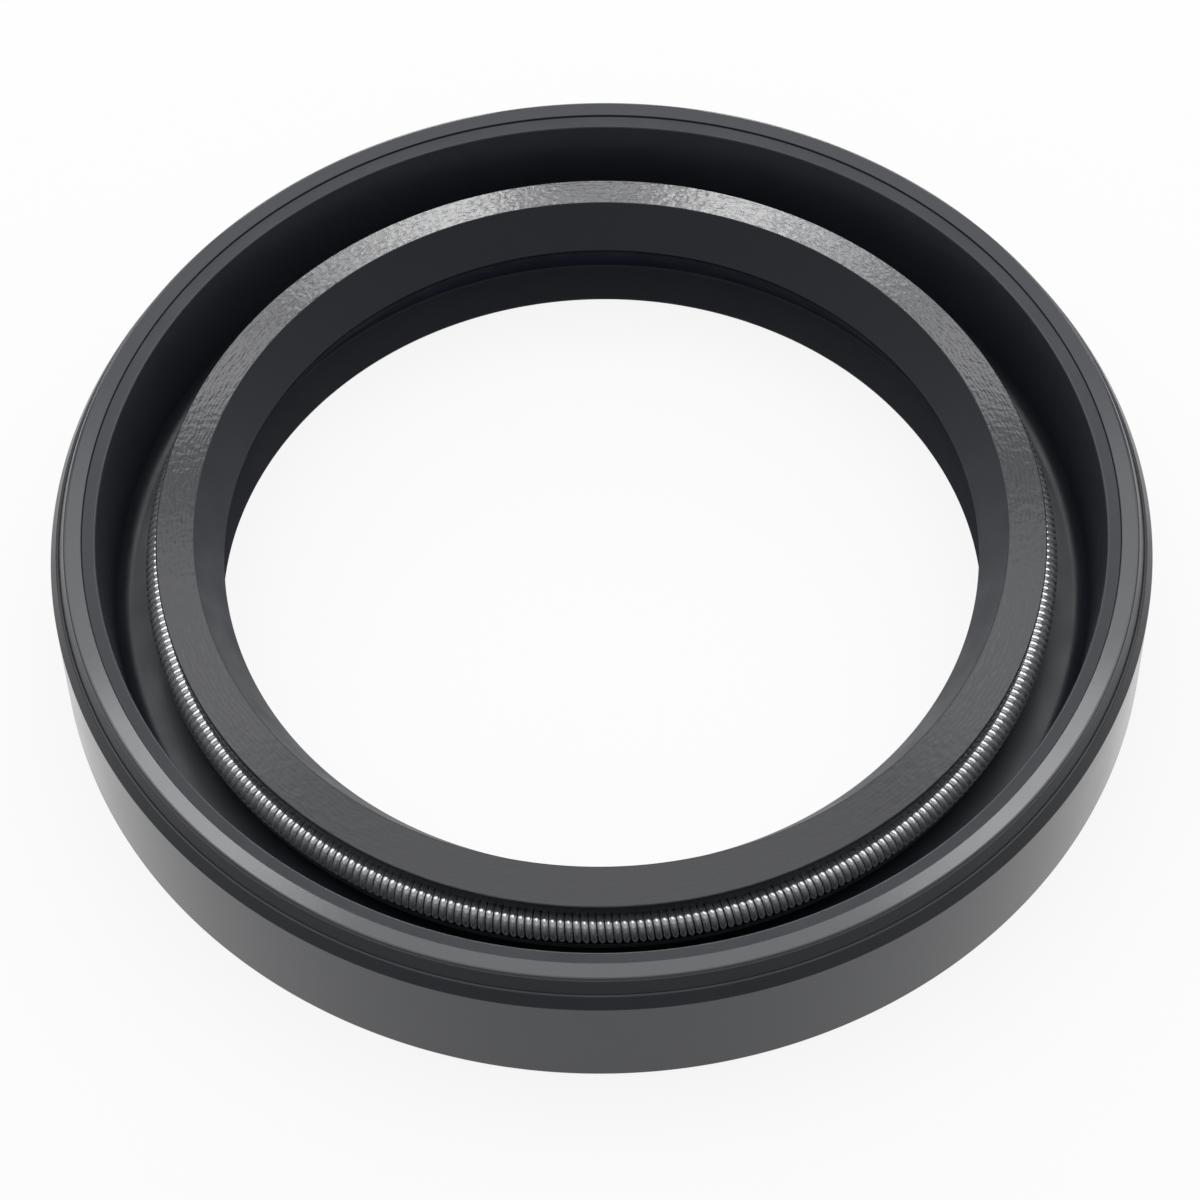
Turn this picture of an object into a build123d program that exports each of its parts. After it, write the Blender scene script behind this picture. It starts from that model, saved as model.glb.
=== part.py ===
from build123d import *
import os
from math import cos, radians, sin, sqrt, tan

# Radial shaft seal: a rubber seal moulded over a pressed steel ring, with a garter spring
# round its lip. The axis is Z. The back (air) face lies at z = 0 and the sprung lip opens
# towards +Z. Every section below is drawn as (radius, height) and revolved about Z. Round
# corners and round sections are drawn as flats, which keeps the turned faces simple.

# Driving dimensions, in mm and degrees ---------------------------------------------------

# What the seal fits: the shaft, and the bore it is pressed into
shaft_diameter = 50.0
radial_section = 10.0  # from the shaft to the housing bore
seal_width = 10.0
press_allowance = 0.25  # free outside diameter over the housing bore

# Rubber cover: lead-in cone at the front, broken corner at the back
back_corner_flat = 0.25
lead_in_depth = 1.0
lead_in_height = 1.95
parting_ledge_depth = 0.18
parting_ledge_drop = 0.04
lower_cone_height = 0.8
rim_land = 1.12
rim_step = 0.14
rim_step_draft = 0.05
rim_slope = 0.12

# Pressed steel ring and the rubber over each of its faces
steel_thickness = 1.0
outer_cover = 1.2
inner_cover = 0.8
back_cover = 0.9
floor_cover = 0.6
front_cover = 1.5
inner_bend_flat = 0.25
flange_wrap = 1.56  # radial, from the notch between the lips to the flange's inner edge

# Annular cavity on the spring side
cavity_wall_draft = 0.8
cavity_floor_flat = 0.6

# Sealing lip
lip_interference = 1.6  # on the diameter, free
lip_land = 0.2
toe_recess = 0.7
toe_height = 2.95
oil_angle = 30.2
air_angle = 26.4
toe_face_width = 2.5
toe_face_drop = 0.66
toe_edge_thickness = 0.82
toe_edge_draft = 0.08
neck_thickness = 1.05
waist_drop = 0.55  # from the horn under the spring down to the waist of the neck
waist_flat = 0.5
horn_thickness = 0.5

# Garter spring and the seat moulded for it
spring_coil_diameter = 2.1
spring_to_lip = 4.0  # radial, from the sealing edge to the middle of the coil
spring_lag = 0.2  # the spring's plane is this far behind the sealing edge
coil_side_count = 8
seat_clearance = 0.05
seat_first_side = 3  # counted round from outward
seat_side_count = 4

# Dust lip
dust_interference = 0.5
dust_edge_height = 0.5
dust_edge_thickness = 0.3
dust_edge_draft = 0.08
notch_height = 2.45
notch_flat = 0.2
back_groove_depth = 1.55
back_groove_inset = 0.5  # radial, from the notch to the bottom of the back groove
back_groove_width = 0.75

# Marks left in the back face by the pins that hold the ring in the mould
pin_mark_count = 6
pin_mark_side_count = 8
pin_mark_diameter = 1.6

# Derived places --------------------------------------------------------------------------

shaft_radius = shaft_diameter / 2
cover_radius = shaft_radius + radial_section + press_allowance / 2
lip_radius = shaft_radius - lip_interference / 2
dust_radius = shaft_radius - dust_interference / 2

# Sealing edge and toe of the lip
toe_inner_height = seal_width - toe_recess
lip_front = toe_inner_height - toe_height
lip_back = lip_front - lip_land
toe_inner = (lip_radius + toe_height * tan(radians(oil_angle)), toe_inner_height)
toe_outer = (toe_inner[0] + toe_face_width, toe_inner_height - toe_face_drop)
toe_under = (toe_outer[0] - toe_edge_draft, toe_outer[1] - toe_edge_thickness)


def air_cone_radius(height):
    """Radius of the cone behind the sealing edge, on the air side."""
    return lip_radius + (lip_back - height) * tan(radians(air_angle))


def neck_radius(height):
    """Radius of the neck's cavity side, parallel to the air cone."""
    return air_cone_radius(height) + neck_thickness / cos(radians(air_angle))


# Steel ring, as thick round its bend as in its walls
notch = (air_cone_radius(notch_height), notch_height)
ring_outer_radius = cover_radius - outer_cover
ring_inner_radius = ring_outer_radius - steel_thickness
ring_front = seal_width - front_cover
flange_back = back_cover
flange_front = back_cover + steel_thickness
flange_inner_radius = notch[0] + flange_wrap
inner_bend = (ring_inner_radius, flange_front)
outer_bend = (ring_outer_radius, flange_back)
outer_bend_flat = inner_bend_flat + steel_thickness * (2 - sqrt(2))
pin_circle_radius = (flange_inner_radius + ring_inner_radius) / 2

# Back corner, lead-in cone, parting ledge and rim
back_corner = (cover_radius, 0)
lead_in_foot = (cover_radius, seal_width - lead_in_height)
rim_outer = (cover_radius - lead_in_depth, seal_width)
ledge_outer = (
    cover_radius - lead_in_depth * lower_cone_height / lead_in_height,
    lead_in_foot[1] + lower_cone_height,
)
ledge_inner = (ledge_outer[0] - parting_ledge_depth, ledge_outer[1] + parting_ledge_drop)
land_inner = (rim_outer[0] - rim_land, seal_width)
step_foot = (land_inner[0] - rim_step_draft, seal_width - rim_step)
cavity_mouth = (ring_inner_radius - inner_cover, step_foot[1] - rim_slope)

# Spring and its seat
spring_radius = lip_radius + spring_to_lip
spring_height = (lip_front + lip_back) / 2 - spring_lag


def seat_point(side):
    """Corner of the seat at the start of this side of the coil, counted round from outward."""
    angle = radians(side * 360 / coil_side_count)
    seat_radius = spring_coil_diameter / 2 + seat_clearance
    return (spring_radius + seat_radius * cos(angle), spring_height + seat_radius * sin(angle))


seat_corners = [seat_point(seat_first_side + count) for count in range(seat_side_count + 1)]
seat_upper = seat_corners[0]
seat_lower = seat_corners[-1]
horn = (seat_lower[0], seat_lower[1] - horn_thickness)

# Cavity floor, neck and waist
floor_height = flange_front + floor_cover
waist_height = horn[1] - waist_drop
cavity_corner = (cavity_mouth[0] - cavity_wall_draft, floor_height)
neck_root = (neck_radius(floor_height), floor_height)
waist = (neck_radius(waist_height), waist_height)

# A short neck has a smaller flat at its waist
longest_waist_flat = 0.45 * (waist_height - floor_height) / cos(radians(air_angle))

# Dust lip and the groove behind it
dust_edge_front = (dust_radius, dust_edge_height)
dust_edge_back = (dust_radius + dust_edge_draft, dust_edge_height - dust_edge_thickness)
back_groove = (notch[0] + back_groove_inset, back_groove_depth)
back_face_inner = (back_groove[0] + back_groove_width, 0)

# Section of the pressed ring: a cylinder with a flange turned in at the back
with BuildSketch(Plane.XZ) as ring_section:
    with BuildLine():
        Polyline(
            (ring_outer_radius, ring_front),
            outer_bend,
            (flange_inner_radius, flange_back),
            (flange_inner_radius, flange_front),
            inner_bend,
            (ring_inner_radius, ring_front),
            close=True,
        )
    make_face()
    chamfer(ring_section.vertices().sort_by_distance(outer_bend)[0], length=outer_bend_flat)
    chamfer(ring_section.vertices().sort_by_distance(inner_bend)[0], length=inner_bend_flat)

# Pressed steel ring, sealed inside the rubber
with BuildPart() as stiffening_ring:
    revolve(ring_section.sketch, axis=Axis.Z)

# One rubber moulding: cover, rim, cavity, neck, sprung lip and dust lip
with BuildPart() as seal_body:
    with BuildSketch(Plane.XZ) as body_section:
        with BuildLine():
            Polyline(
                # back face, cover, lead-in and rim
                back_face_inner,
                back_corner,
                lead_in_foot,
                ledge_outer,
                ledge_inner,
                rim_outer,
                land_inner,
                step_foot,
                # cavity, neck and the horn under the spring
                cavity_mouth,
                cavity_corner,
                neck_root,
                waist,
                horn,
                # spring seat
                *reversed(seat_corners),
                # toe, oil cone, sealing edge and air cone
                toe_under,
                toe_outer,
                toe_inner,
                (lip_radius, lip_front),
                (lip_radius, lip_back),
                notch,
                # dust lip and the groove behind it
                dust_edge_front,
                dust_edge_back,
                back_groove,
                close=True,
            )
        make_face()
        for corner, flat in (
            (back_corner, back_corner_flat),
            (cavity_corner, cavity_floor_flat),
            (waist, min(waist_flat, longest_waist_flat)),
            (notch, notch_flat),
        ):
            chamfer(body_section.vertices().sort_by_distance(corner)[0], length=flat)
        add(ring_section.sketch_local, mode=Mode.SUBTRACT)
    revolve(axis=Axis.Z)
    with BuildSketch(Plane.XY):
        with PolarLocations(pin_circle_radius, pin_mark_count):
            RegularPolygon(pin_mark_diameter / 2, pin_mark_side_count)
    extrude(amount=back_cover, mode=Mode.SUBTRACT)

# Garter spring: the ring that its close-wound coil of wire fills
with BuildPart() as garter_spring:
    with BuildSketch(Plane.XZ):
        with Locations((spring_radius, spring_height)):
            RegularPolygon(spring_coil_diameter / 2, coil_side_count)
    revolve(axis=Axis.Z)

os.makedirs("parts", exist_ok=True)
seal_body.part.label = "seal_body"
export_step(seal_body.part, "parts/seal_body.step")
stiffening_ring.part.label = "stiffening_ring"
export_step(stiffening_ring.part, "parts/stiffening_ring.step")
garter_spring.part.label = "garter_spring"
export_step(garter_spring.part, "parts/garter_spring.step")
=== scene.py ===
# A 50 x 70 x 10 mm radial shaft seal, finished piece by piece in the order that it is made:
# the steel ring, the rubber moulded over it, the garter spring, then the table and the lights.

from math import atan2, ceil, cos, pi, radians, sin, sqrt, tan

import bmesh
import bpy
from mathutils import Matrix, Vector


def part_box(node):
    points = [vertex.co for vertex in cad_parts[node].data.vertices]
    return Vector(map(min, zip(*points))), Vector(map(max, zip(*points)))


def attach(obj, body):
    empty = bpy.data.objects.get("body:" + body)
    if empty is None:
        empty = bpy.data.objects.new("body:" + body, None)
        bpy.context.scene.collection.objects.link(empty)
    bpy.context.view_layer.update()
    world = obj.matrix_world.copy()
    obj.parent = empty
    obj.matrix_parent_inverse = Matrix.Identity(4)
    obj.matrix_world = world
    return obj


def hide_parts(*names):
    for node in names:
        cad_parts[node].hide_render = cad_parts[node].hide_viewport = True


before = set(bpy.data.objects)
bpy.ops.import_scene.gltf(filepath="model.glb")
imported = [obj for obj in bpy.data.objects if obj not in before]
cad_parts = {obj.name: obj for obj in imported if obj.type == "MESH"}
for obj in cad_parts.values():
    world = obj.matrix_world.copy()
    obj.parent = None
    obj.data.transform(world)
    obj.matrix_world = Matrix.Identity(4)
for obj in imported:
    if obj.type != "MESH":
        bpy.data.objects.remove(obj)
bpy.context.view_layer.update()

# ---------------------------------------------------------------------------------------
# Stiffening ring. Cold-rolled sheet steel pressed to an L section and phosphated, so that
# the rubber bonds to it. It lies inside the rubber and only shows at the bottom of the six
# pin marks in the back face, where its flange rested on the mould's pins.

MM = 0.001  # lengths here are in metres

phosphate_grey = (0.17, 0.165, 0.155, 1)
phosphate_dark = (0.11, 0.108, 0.102, 1)
phosphate_metal = 0.6
phosphate_roughness = 0.55
crystal_size = 0.12 * MM
crystal_depth = 0.01 * MM
crystal_relief = 0.6


def add_node(material, kind, **values):
    """A node of this kind in the material, with its settings and the values of its sockets."""
    node = material.node_tree.nodes.new(kind)
    for name, value in values.items():
        if hasattr(node, name):
            setattr(node, name, value)
        else:
            node.inputs[name.replace("_", " ")].default_value = value
    return node


def join(material, output, socket):
    """Link an output in the material to the socket that reads it."""
    material.node_tree.links.new(output, socket)


def new_material(name):
    """A material of one Principled shader, with the shader and its object coordinates."""
    material = bpy.data.materials.new(name)
    material.use_nodes = True
    shader = material.node_tree.nodes["Principled BSDF"]
    place = add_node(material, "ShaderNodeTexCoord").outputs["Object"]
    return material, shader, place


def blend_colours(material, factor, low, high):
    """A colour that runs from low to high as the factor runs from 0 to 1."""
    ramp = add_node(material, "ShaderNodeValToRGB")
    ramp.color_ramp.elements[0].color = low
    ramp.color_ramp.elements[1].color = high
    join(material, factor, ramp.inputs["Fac"])
    return ramp.outputs["Color"]


def raise_surface(material, shader, height, depth, relief=1):
    """Bump of this depth in metres, from a height between 0 and 1."""
    bump = add_node(material, "ShaderNodeBump", Strength=relief, Distance=depth)
    join(material, height, bump.inputs["Height"])
    join(material, bump.outputs["Normal"], shader.inputs["Normal"])


phosphate, shader, place = new_material("phosphated_steel")
shader.inputs["Metallic"].default_value = phosphate_metal
shader.inputs["Roughness"].default_value = phosphate_roughness
crystals = add_node(phosphate, "ShaderNodeTexVoronoi", Scale=1 / crystal_size)
join(phosphate, place, crystals.inputs["Vector"])
crystal_height = crystals.outputs["Distance"]
crystal_colour = blend_colours(phosphate, crystal_height, phosphate_dark, phosphate_grey)
join(phosphate, crystal_colour, shader.inputs["Base Color"])
raise_surface(phosphate, shader, crystal_height, crystal_depth, crystal_relief)

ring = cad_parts["stiffening_ring"]
ring.data.materials.clear()
ring.data.materials.append(phosphate)

# ---------------------------------------------------------------------------------------
# Rubber body. Black nitrile rubber, moulded over the steel ring in one shot: bore cover, rim,
# cavity, sealing lip and dust lip. The mould is blasted at the cover and polished at the
# cavity and the lips, and a turning knife then trims the toe of the sealing lip.

# Places that the solids set: the outside, the steel ring and the spring
body_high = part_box("seal_body")[1]
ring_low, ring_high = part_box("stiffening_ring")
spring_low, spring_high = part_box("garter_spring")
cover_radius = body_high.x
seal_width = body_high.z
ring_outer_radius = ring_high.x
ring_front = ring_high.z
flange_back = ring_low.z
coil_radius = (spring_high.z - spring_low.z) / 2
spring_radius = spring_high.x - coil_radius
spring_height = (spring_high.z + spring_low.z) / 2

# Lead-in cone with its parting ledge, and the rim
lead_in_depth = 1.0 * MM
lead_in_height = 1.95 * MM
lower_cone_height = 0.8 * MM
ledge_depth = 0.18 * MM
ledge_drop = 0.04 * MM
rim_land = 1.12 * MM
rim_step = 0.14 * MM
rim_step_draft = 0.05 * MM
rim_slope = 0.12 * MM

# Pocket of the steel ring
steel_thickness = 1.0 * MM
inner_bend_flat = 0.25 * MM
outer_bend_flat = inner_bend_flat + steel_thickness * (2 - sqrt(2))
flange_wrap = 1.56 * MM

# Annular cavity
inner_cover = 0.8 * MM
floor_cover = 0.6 * MM
cavity_wall_draft = 0.8 * MM

# Sealing lip, from its edge inside the spring
spring_to_lip = 4.0 * MM
spring_lag = 0.2 * MM
lip_land = 0.2 * MM
toe_height = 2.95 * MM
oil_angle = radians(30.2)
air_angle = radians(26.4)
toe_face_width = 2.5 * MM
toe_face_drop = 0.66 * MM
toe_edge_thickness = 0.82 * MM
toe_edge_draft = 0.08 * MM
neck_thickness = 1.05 * MM
waist_drop = 0.55 * MM
horn_thickness = 0.5 * MM
seat_clearance = 0.05 * MM

# Dust lip and the groove behind it
dust_edge_radius = 24.75 * MM
dust_edge_height = 0.5 * MM
dust_edge_thickness = 0.3 * MM
dust_edge_draft = 0.08 * MM
notch_height = 2.45 * MM
back_groove_depth = 1.55 * MM
back_groove_inset = 0.5 * MM
back_groove_width = 0.75 * MM

# Pin marks
pin_mark_count = 6
pin_mark_radius = 0.8 * MM
pin_mark_round = 0.12 * MM

# Sealing edge and toe
lip_radius = spring_radius - spring_to_lip
lip_middle = spring_height + spring_lag
lip_front = lip_middle + lip_land / 2
lip_back = lip_middle - lip_land / 2
land_front = Vector((lip_radius, lip_front))
land_back = Vector((lip_radius, lip_back))
toe_inner = land_front + Vector((toe_height * tan(oil_angle), toe_height))
toe_outer = toe_inner + Vector((toe_face_width, -toe_face_drop))
toe_under = toe_outer - Vector((toe_edge_draft, toe_edge_thickness))


def air_cone_radius(height):
    """Radius of the cone behind the sealing edge, on the air side."""
    return lip_radius + (lip_back - height) * tan(air_angle)


def neck_radius(height):
    """Radius of the neck's cavity side, parallel to the air cone."""
    return air_cone_radius(height) + neck_thickness / cos(air_angle)


# Pocket of the steel ring, and the circle that the pin marks lie on
notch = Vector((air_cone_radius(notch_height), notch_height))
ring_inner_radius = ring_outer_radius - steel_thickness
flange_front = flange_back + steel_thickness
flange_inner_radius = notch.x + flange_wrap
pin_circle_radius = (flange_inner_radius + ring_inner_radius) / 2

# Lead-in cone, rim and cavity
lead_in_foot = Vector((cover_radius, seal_width - lead_in_height))
lower_cone_depth = lead_in_depth * lower_cone_height / lead_in_height
ledge_outer = lead_in_foot + Vector((-lower_cone_depth, lower_cone_height))
ledge_inner = ledge_outer + Vector((-ledge_depth, ledge_drop))
rim_outer = Vector((cover_radius - lead_in_depth, seal_width))
land_inner = rim_outer - Vector((rim_land, 0))
step_foot = land_inner - Vector((rim_step_draft, rim_step))
cavity_mouth = Vector((ring_inner_radius - inner_cover, step_foot.y - rim_slope))
floor_height = flange_front + floor_cover
cavity_corner = Vector((cavity_mouth.x - cavity_wall_draft, floor_height))

# Spring seat, a half round that fills two corners of a square about the coil, and the neck
seat_radius = coil_radius + seat_clearance
seat_corner = seat_radius * sqrt(2)
seat_middle = Vector((spring_radius, spring_height))
seat_lower = seat_middle + Vector((seat_corner / 2, -seat_corner / 2))
seat_bottom = seat_middle - Vector((0, seat_corner))
seat_inner = seat_middle - Vector((seat_corner, 0))
seat_upper = seat_middle + Vector((-seat_corner / 2, seat_corner / 2))
horn = seat_lower - Vector((0, horn_thickness))
waist = Vector((neck_radius(horn.y - waist_drop), horn.y - waist_drop))
neck_root = Vector((neck_radius(floor_height), floor_height))

# Dust lip and back face
dust_edge_front = Vector((dust_edge_radius, dust_edge_height))
dust_edge_back = dust_edge_front + Vector((dust_edge_draft, -dust_edge_thickness))
back_groove = Vector((notch.x + back_groove_inset, back_groove_depth))
back_inner = Vector((back_groove.x + back_groove_width, 0))
back_outer = Vector((cover_radius, 0))

# Each corner of the section (radius, height), its round, and the finish of the face after it
COVER, LEAD_IN, RIM, RIM_STEP, CAVITY, TRIMMED, OIL_SIDE, AIR_SIDE, DUST_LIP = range(9)
body_corners = [
    (back_outer, 0.25 * MM, COVER),
    (lead_in_foot, 0.12 * MM, LEAD_IN),
    (ledge_outer, 0.1 * MM, RIM_STEP),
    (ledge_inner, 0.06 * MM, LEAD_IN),
    (rim_outer, 0.25 * MM, RIM),
    (land_inner, 0.05 * MM, RIM_STEP),
    (step_foot, 0.05 * MM, RIM_STEP),
    (cavity_mouth, 0.15 * MM, CAVITY),
    (cavity_corner, 1.0 * MM, CAVITY),
    (neck_root, 0.5 * MM, CAVITY),
    (waist, 0.6 * MM, CAVITY),
    (horn, 0.12 * MM, CAVITY),
    (seat_lower, 0.08 * MM, CAVITY),
    (seat_bottom, seat_radius, CAVITY),
    (seat_inner, seat_radius, CAVITY),
    (seat_upper, 0, CAVITY),
    (toe_under, 0.08 * MM, CAVITY),
    (toe_outer, 0.14 * MM, TRIMMED),
    (toe_inner, 0.06 * MM, OIL_SIDE),
    (land_front, 0.04 * MM, AIR_SIDE),
    (land_back, 0.04 * MM, AIR_SIDE),
    (notch, 0.3 * MM, DUST_LIP),
    (dust_edge_front, 0.06 * MM, DUST_LIP),
    (dust_edge_back, 0.06 * MM, DUST_LIP),
    (back_groove, 0.2 * MM, DUST_LIP),
    (back_inner, 0.15 * MM, COVER),
]
# The pocket that the steel ring fills, from its flange's back edge round to its bend
pocket_corners = [
    Vector((flange_inner_radius, flange_back)),
    Vector((flange_inner_radius, flange_front)),
    Vector((ring_inner_radius - inner_bend_flat, flange_front)),
    Vector((ring_inner_radius, flange_front + inner_bend_flat)),
    Vector((ring_inner_radius, ring_front)),
    Vector((ring_outer_radius, ring_front)),
    Vector((ring_outer_radius, flange_back + outer_bend_flat)),
    Vector((ring_outer_radius - outer_bend_flat, flange_back)),
]

# Fineness of the mesh: steps round the seal, round a pin mark and over its edge, the most
# that one step of a round corner turns, and how close two points are drawn as one
TURN_STEPS = 480
PIN_STEPS = 40
PIN_ROUND_STEPS = 4
ROUND_STEP = radians(13)
SAME_POINT = 0.0001 * MM


def heading(start, end):
    """Direction of travel from one corner to the next."""
    return atan2(end.y - start.y, end.x - start.x)


def rounded_section(corners):
    """Points of a closed section with its corners rounded: (radius and height, outward
    normal, finish of the face that follows)."""
    section = []
    for number, (corner, radius, finish) in enumerate(corners):
        arriving = heading(corners[number - 1][0], corner)
        leaving = heading(corner, corners[(number + 1) % len(corners)][0])
        turn = (leaving - arriving + pi) % (2 * pi) - pi
        side = 1 if turn > 0 else -1
        start = corner - radius * tan(abs(turn) / 2) * Vector((cos(arriving), sin(arriving)))
        middle = start - side * radius * Vector((sin(arriving), -cos(arriving)))
        steps = max(1, ceil(abs(turn) / ROUND_STEP)) if radius else 0
        for step in range(steps + 1):
            angle = arriving + turn * (step / steps if steps else 0.5)
            normal = Vector((sin(angle), -cos(angle)))
            point = middle + side * radius * normal
            if section and (point - section[-1][0]).length < SAME_POINT:
                section.pop()
            section.append((point, normal, finish))
    return section


body_mesh = bmesh.new()
body_normals = []
seal_axis = Vector()


def add_vertex(point, normal):
    """A vertex of the body, with the normal that it is shaded by."""
    body_normals.append(normal)
    return body_mesh.verts.new(point)


def add_ring(middle, point, normal, steps):
    """A turned ring of vertices through a point (radius, height), about an upright axis."""
    vertices = []
    for step in range(steps):
        turn = 2 * pi * step / steps
        outward = Vector((cos(turn), sin(turn), 0))
        vertices.append(
            add_vertex(
                middle + outward * point.x + Vector((0, 0, point.y)),
                outward * normal.x + Vector((0, 0, normal.y)),
            )
        )
    return vertices


def add_band(lower, upper, finish):
    """The faces between two rings of vertices; from outside, the first ring is below."""
    for step in range(len(lower)):
        corners = (lower[step - 1], lower[step], upper[step], upper[step - 1])
        body_mesh.faces.new(corners).material_index = finish


def add_pin_hole(angle):
    """A hole through the rubber behind the flange: its rings, from the back inward."""
    middle = Vector((cos(angle), sin(angle), 0)) * pin_circle_radius
    rings = []
    for step in range(PIN_ROUND_STEPS + 1):
        tilt = pi / 2 * step / PIN_ROUND_STEPS
        edge = Vector((1 - sin(tilt), 1 - cos(tilt))) * pin_mark_round
        normal = Vector((-sin(tilt), -cos(tilt)))
        rings.append(add_ring(middle, Vector((pin_mark_radius, 0)) + edge, normal, PIN_STEPS))
    bottom = Vector((pin_mark_radius, flange_back))
    rings.append(add_ring(middle, bottom, Vector((-1, 0)), PIN_STEPS))
    for nearer, deeper in zip(rings, rings[1:]):
        add_band(deeper, nearer, COVER)
    return rings


def fill_flat(loops, facing):
    """A flat face bounded by rings of vertices: one outside, one inside, and the holes."""
    edges = []
    for loop in loops:
        for step in range(len(loop)):
            edges.append(body_mesh.edges.get((loop[step - 1], loop[step])))
    made = bmesh.ops.triangle_fill(body_mesh, use_beauty=True, edges=edges)
    for face in made["geom"]:
        if isinstance(face, bmesh.types.BMFace):
            face.material_index = COVER
            face.normal_update()
            if face.normal.z * facing < 0:
                face.normal_flip()


section = rounded_section(body_corners)
body_rings = [add_ring(seal_axis, point, normal, TURN_STEPS) for point, normal, _ in section]
for lower, upper, (_, _, finish) in zip(body_rings, body_rings[1:], section):
    add_band(lower, upper, finish)

upward = Vector((0, 1))
pocket_rings = [add_ring(seal_axis, corner, upward, TURN_STEPS) for corner in pocket_corners]
for lower, upper in zip(pocket_rings, pocket_rings[1:]):
    add_band(lower, upper, COVER)

pin_holes = [add_pin_hole(2 * pi * mark / pin_mark_count) for mark in range(pin_mark_count)]
fill_flat([body_rings[0], body_rings[-1]] + [hole[0] for hole in pin_holes], -1)
fill_flat([pocket_rings[0], pocket_rings[-1]] + [hole[-1] for hole in pin_holes], 1)


def add_object(name, data):
    """An object in the scene that shows this mesh, lamp or camera."""
    shown = bpy.data.objects.new(name, data)
    bpy.context.scene.collection.objects.link(shown)
    return shown


body_data = bpy.data.meshes.new("moulded_rubber_body")
body_mesh.to_mesh(body_data)
body_mesh.free()
body_data.shade_smooth()
body_data.normals_split_custom_set_from_vertices(body_normals)
rubber_body = add_object("moulded_rubber_body", body_data)

# Finishes. The mould's grain is as fine on every face and only its depth differs, and its
# polish varies a little from place to place.
rubber_ior = 1.6
grain_size = 0.3 * MM
polish_patch = 3 * MM
polish_variation = 0.3
knife_line_spacing = 0.3 * MM
torn_grain_size = 0.5 * MM
torn_share = 0.88
cut_depth = 0.03 * MM


def add_noise(material, place, size, detail):
    """A value between 0 and 1 that varies softly over this size."""
    noise = add_node(material, "ShaderNodeTexNoise", Scale=1 / size, Detail=detail)
    join(material, place, noise.inputs["Vector"])
    return noise.outputs["Fac"]


def vary_roughness(material, shader, factor, smooth, rough):
    """Roughness that runs from smooth to rough as the factor runs from 0 to 1."""
    spread = add_node(material, "ShaderNodeMapRange", To_Min=smooth, To_Max=rough)
    join(material, factor, spread.inputs["Value"])
    join(material, spread.outputs["Result"], shader.inputs["Roughness"])


def new_rubber(name, colour, gloss):
    """Black rubber of this colour and gloss, before it has its surface."""
    material, shader, place = new_material(name)
    shader.inputs["Base Color"].default_value = colour
    shader.inputs["IOR"].default_value = rubber_ior
    shader.inputs["Specular IOR Level"].default_value = gloss
    return material, shader, place


def moulded_finish(name, colour, roughness, gloss, grain_depth):
    """Black rubber with the fine grain of the mould's surface."""
    material, shader, place = new_rubber(name, colour, gloss)
    patches = add_noise(material, place, polish_patch, detail=4)
    smooth = roughness * (1 - polish_variation)
    rough = roughness * (1 + polish_variation)
    vary_roughness(material, shader, patches, smooth, rough)
    grain = add_noise(material, place, grain_size, detail=1)
    raise_surface(material, shader, grain, grain_depth)
    return material


def trimmed_finish(name, colour, roughness, gloss):
    """Cut rubber, with the turned lines of the knife and the torn grain between them."""
    material, shader, place = new_rubber(name, colour, gloss)
    shader.inputs["Roughness"].default_value = roughness
    # Blender's wave texture has 20 lines in 2 pi of its own units
    lines = add_node(
        material,
        "ShaderNodeTexWave",
        wave_type="RINGS",
        rings_direction="Z",
        Scale=2 * pi / 20 / knife_line_spacing,
        Distortion=9,
        Detail=2,
        Detail_Scale=0.6,
    )
    join(material, place, lines.inputs["Vector"])
    torn_grain = add_noise(material, place, torn_grain_size, detail=1)
    cut = add_node(material, "ShaderNodeMix", data_type="FLOAT", Factor=torn_share)
    join(material, lines.outputs["Fac"], cut.inputs["A"])
    join(material, torn_grain, cut.inputs["B"])
    raise_surface(material, shader, cut.outputs["Result"], cut_depth)
    return material


# Each finish: its name, colour, roughness, gloss and, where it is moulded, the grain's depth
rubber_finishes = {
    COVER: moulded_finish("rubber_cover", (0.018, 0.0205, 0.028, 1), 0.16, 0.3, 0.004 * MM),
    # The lead-in's colour is painted shade: far darker than the cover's, for the shade that the
    # cone lies in at the front.
    LEAD_IN: moulded_finish("rubber_lead_in_painted_shade", (0.003, 0.0045, 0.01, 1), 0.26, 0.22, 0.003 * MM),
    RIM: moulded_finish("rubber_rim", (0.036, 0.0385, 0.046, 1), 0.1, 0.5, 0.001 * MM),
    RIM_STEP: moulded_finish("rubber_rim_step", (0.008, 0.01, 0.017, 1), 0.35, 0.37, 0.003 * MM),
    CAVITY: moulded_finish("rubber_cavity", (0.021, 0.0245, 0.034, 1), 0.4, 0.5, 0.003 * MM),
    TRIMMED: trimmed_finish("rubber_trimmed", (0.024, 0.0255, 0.031, 1), 0.22, 0.48),
    OIL_SIDE: moulded_finish("rubber_oil_side", (0.021, 0.0235, 0.031, 1), 0.5, 0.25, 0.004 * MM),
    # The air side's colour is painted shade: darker than the rest of the rubber, for the shadow
    # under the lips.
    AIR_SIDE: moulded_finish("rubber_air_side_painted_shade", (0.007, 0.009, 0.017, 1), 0.8, 0.03, 0.004 * MM),
    # The dust lip's colour is painted light: lighter than the rest of the rubber, for the light
    # that reaches it through the hole.
    DUST_LIP: moulded_finish("rubber_dust_lip_painted_light", (0.031, 0.034, 0.042, 1), 0.7, 0.06, 0.004 * MM),
}
for number in sorted(rubber_finishes):
    body_data.materials.append(rubber_finishes[number])

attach(rubber_body, "root")
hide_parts("seal_body")

# ---------------------------------------------------------------------------------------
# Garter spring. Bright drawn spring wire, wound close and right-handed into a long thin coil
# whose ends are screwed into each other. It sits in the groove behind the toe and presses the
# lip inward, stretched so little that its turns only just stand apart.

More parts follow.
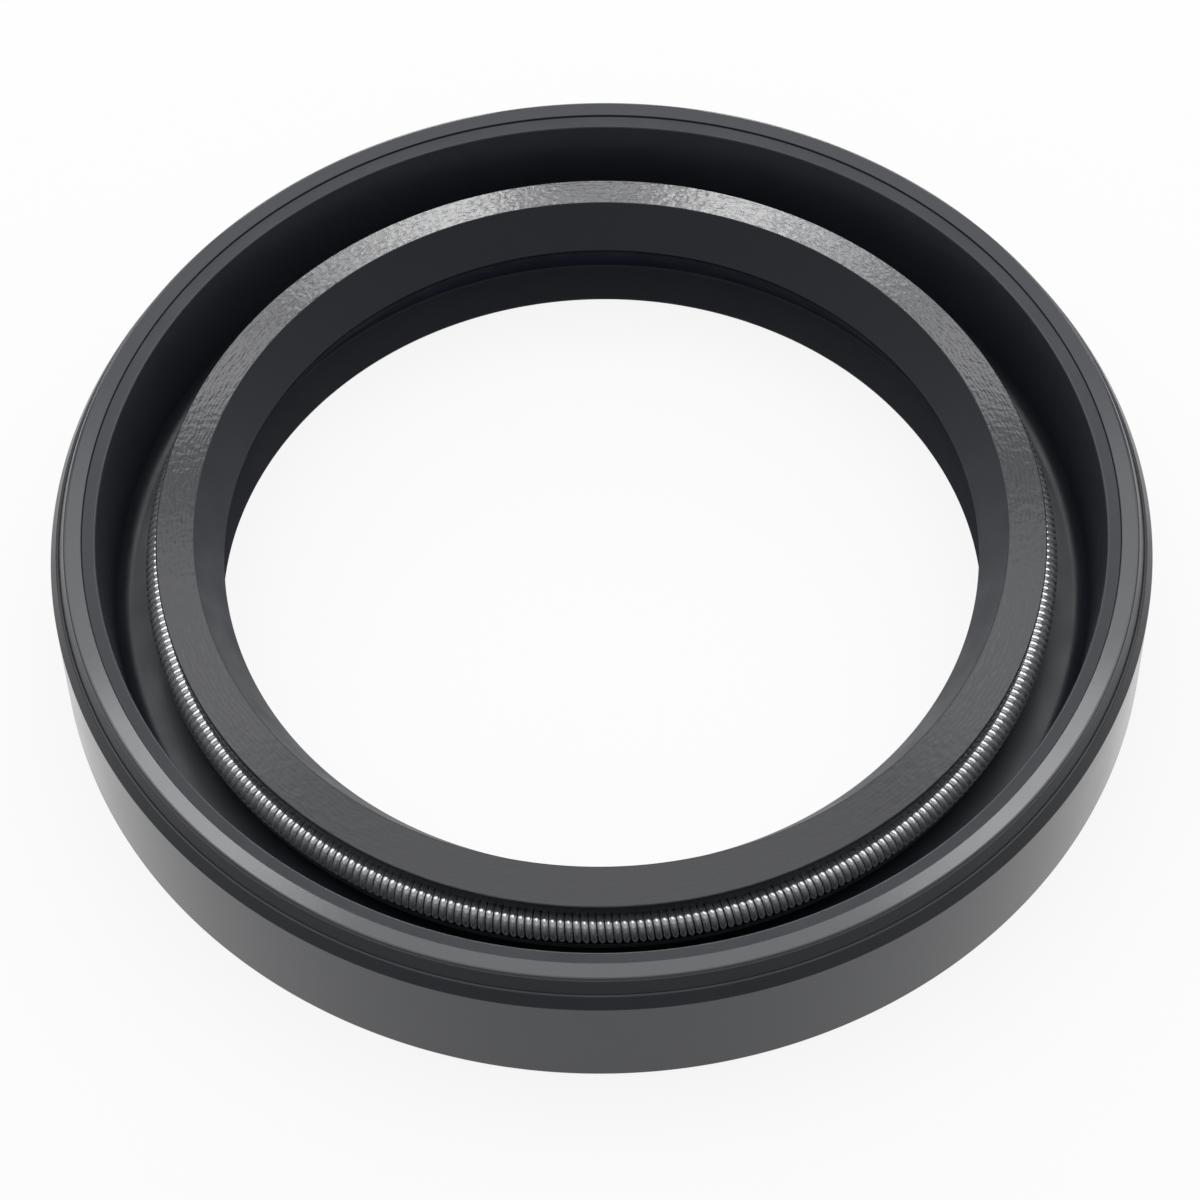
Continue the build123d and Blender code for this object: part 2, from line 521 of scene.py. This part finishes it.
wire_diameter = 0.45 * MM
turn_spacing = 0.466 * MM
coil_middle_radius = coil_radius - wire_diameter / 2
inner_length = 2 * pi * (spring_radius - coil_middle_radius)
turn_count = int(inner_length / turn_spacing)
wire_colour = (0.82, 0.83, 0.85, 1)
wire_metal = 0.82
wire_smooth = 0.06
wire_rough = 0.22
drawing_mark_size = 0.3 * MM
TURN_POINTS = 16
WIRE_SIDES = 8

coil_points = []
for number in range(turn_count * TURN_POINTS):
    around_axis = 2 * pi * number / (turn_count * TURN_POINTS)
    around_coil = -2 * pi * number / TURN_POINTS
    outward = Vector((cos(around_axis), sin(around_axis), 0))
    coil_middle = outward * spring_radius + Vector((0, 0, spring_height))
    across = outward * cos(around_coil) + Vector((0, 0, sin(around_coil)))
    coil_points.append((coil_middle + across * coil_middle_radius, across))

wire_vertices = []
wire_faces = []
for number, (point, across) in enumerate(coil_points):
    ahead = coil_points[(number + 1) % len(coil_points)][0] - coil_points[number - 1][0]
    sideways = ahead.normalized().cross(across)
    here = number * WIRE_SIDES
    after = (number + 1) % len(coil_points) * WIRE_SIDES
    for side in range(WIRE_SIDES):
        turn = 2 * pi * side / WIRE_SIDES
        towards = across * cos(turn) + sideways * sin(turn)
        wire_vertices.append(point + towards * wire_diameter / 2)
        next_side = (side + 1) % WIRE_SIDES
        wire_faces.append((here + side, here + next_side, after + next_side, after + side))

spring_data = bpy.data.meshes.new("wound_garter_spring")
spring_data.from_pydata(wire_vertices, [], wire_faces)
spring_data.shade_smooth()
wound_spring = add_object("wound_garter_spring", spring_data)

wire, shader, place = new_material("drawn_spring_wire")
shader.inputs["Metallic"].default_value = wire_metal
shader.inputs["Base Color"].default_value = wire_colour
drawing_marks = add_noise(wire, place, drawing_mark_size, detail=2)
vary_roughness(wire, shader, drawing_marks, wire_smooth, wire_rough)
spring_data.materials.append(wire)

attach(wound_spring, "root")
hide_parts("garter_spring")

# ---------------------------------------------------------------------------------------
# Table. A plain matt white board, larger than the view, on which the seal lies on its back
# face. To the camera and in the seal's gloss it glows white, under the seal's soft shadow.

table_size = 1200 * MM
table_gap = 0.01 * MM  # keeps the board just clear of the back face
board_white = (0.8, 0.8, 0.8, 1)
board_roughness = 0.9
seen_glow = 0.88
mirrored_glow = 0.9

half = table_size / 2
table_corners = [(-half, -half, 0), (half, -half, 0), (half, half, 0), (-half, half, 0)]
table_data = bpy.data.meshes.new("table")
table_data.from_pydata(table_corners, [], [(0, 1, 2, 3)])
table = add_object("table", table_data)
table.location.z = -table_gap

board = bpy.data.materials.new("white_board")
board.use_nodes = True
board_nodes = board.node_tree.nodes
paint = board_nodes["Principled BSDF"]
paint.inputs["Base Color"].default_value = board_white
paint.inputs["Roughness"].default_value = board_roughness
paint.inputs["Specular IOR Level"].default_value = 0


def larger_of(first, second):
    """The larger of two values in the board's material."""
    larger = add_node(board, "ShaderNodeMath", operation="MAXIMUM")
    join(board, first, larger.inputs[0])
    join(board, second, larger.inputs[1])
    return larger.outputs[0]


def part_of(value, share):
    """A share of a value in the board's material."""
    product = add_node(board, "ShaderNodeMath", operation="MULTIPLY")
    join(board, value, product.inputs[0])
    product.inputs[1].default_value = share
    return product.outputs[0]


path = add_node(board, "ShaderNodeLightPath").outputs
mirrored = larger_of(path["Is Glossy Ray"], path["Is Transmission Ray"])
glow_share = larger_of(
    part_of(path["Is Camera Ray"], seen_glow),
    part_of(mirrored, mirrored_glow),
)
glow = add_node(board, "ShaderNodeEmission", Strength=1)
glowing_paint = add_node(board, "ShaderNodeMixShader")
join(board, glow_share, glowing_paint.inputs["Fac"])
join(board, paint.outputs["BSDF"], glowing_paint.inputs[1])
join(board, glow.outputs["Emission"], glowing_paint.inputs[2])
join(board, glowing_paint.outputs["Shader"], board_nodes["Material Output"].inputs["Surface"])
table_data.materials.append(board)

# ---------------------------------------------------------------------------------------
# Light. A pale tent with soft lamps around it: one overhead, one at each side, one high up
# behind with a small one on either side of it, and a row low down behind, the brightest a
# little to the left and right of the middle.

tent_colour = (1, 1, 1, 1)
tent_strength = 0.37
lamp_distance = 600 * MM
# Each lamp's name, degrees round from the front, degrees up, width and height in metres, and
# brightness
lamps = [
    ("overhead", 180, 80, 0.6, 0.6, 1.15),
    ("high_behind", 180, 57, 0.35, 0.28, 0.6),
    ("right", 115, 45, 0.4, 0.35, 1.5),
    ("left", -115, 45, 0.4, 0.35, 1.5),
    ("behind", 180, 22, 0.07, 0.12, 3.2),
    ("behind_right_1", 171, 22, 0.07, 0.12, 11),
    ("behind_left_1", -171, 22, 0.07, 0.12, 11),
    ("behind_right_2", 163, 24, 0.08, 0.12, 5.5),
    ("behind_left_2", -163, 24, 0.08, 0.12, 5.5),
    ("behind_right_3", 150, 28, 0.12, 0.14, 3.4),
    ("behind_left_3", -150, 28, 0.12, 0.14, 3.4),
    ("high_right", 164, 59.5, 0.05, 0.05, 3.6),
    ("high_left", -164, 59.5, 0.05, 0.05, 3.6),
]

world = bpy.data.worlds.new("tent")
bpy.context.scene.world = world
world.use_nodes = True
background = world.node_tree.nodes["Background"]
background.inputs["Color"].default_value = tent_colour
background.inputs["Strength"].default_value = tent_strength

for name, around, above, width, height, brightness in lamps:
    around = radians(around)
    above = radians(above)
    towards = Vector((cos(above) * sin(around), -cos(above) * cos(around), sin(above)))
    lamp_data = bpy.data.lights.new(name, "AREA")
    lamp_data.shape = "RECTANGLE"
    lamp_data.size = width
    lamp_data.size_y = height
    lamp_data.energy = brightness * pi * width * height
    lamp = add_object(name, lamp_data)
    lamp.location = towards * lamp_distance
    lamp.rotation_euler = towards.to_track_quat("Z", "Y").to_euler()

# ---------------------------------------------------------------------------------------
# Camera. It stands in front of the seal and looks down at it through a long lens, so that
# the middle of the rim comes a little above the middle of the view.

view_angle = radians(54.35)
view_distance = 283.3 * MM
view_left = 0.15 * MM
roll = radians(-1)
frame_pixels = 1200
focal_pixels = 4458
rim_centre_row = 511

camera_data = bpy.data.cameras.new("camera")
camera_data.sensor_width = 36
camera_data.lens = focal_pixels / frame_pixels * camera_data.sensor_width
camera = add_object("camera", camera_data)
aim_below = atan2(frame_pixels / 2 - rim_centre_row, focal_pixels)
tilt = pi / 2 - view_angle - aim_below
from_rim = Vector((0, -cos(view_angle), sin(view_angle))) * view_distance
camera.matrix_world = (
    Matrix.Translation(from_rim + Vector((-view_left, 0, seal_width)))
    @ Matrix.Rotation(tilt, 4, "X")
    @ Matrix.Rotation(roll, 4, "Z")
)
bpy.context.scene.camera = camera
bpy.context.scene.view_settings.view_transform = "Standard"
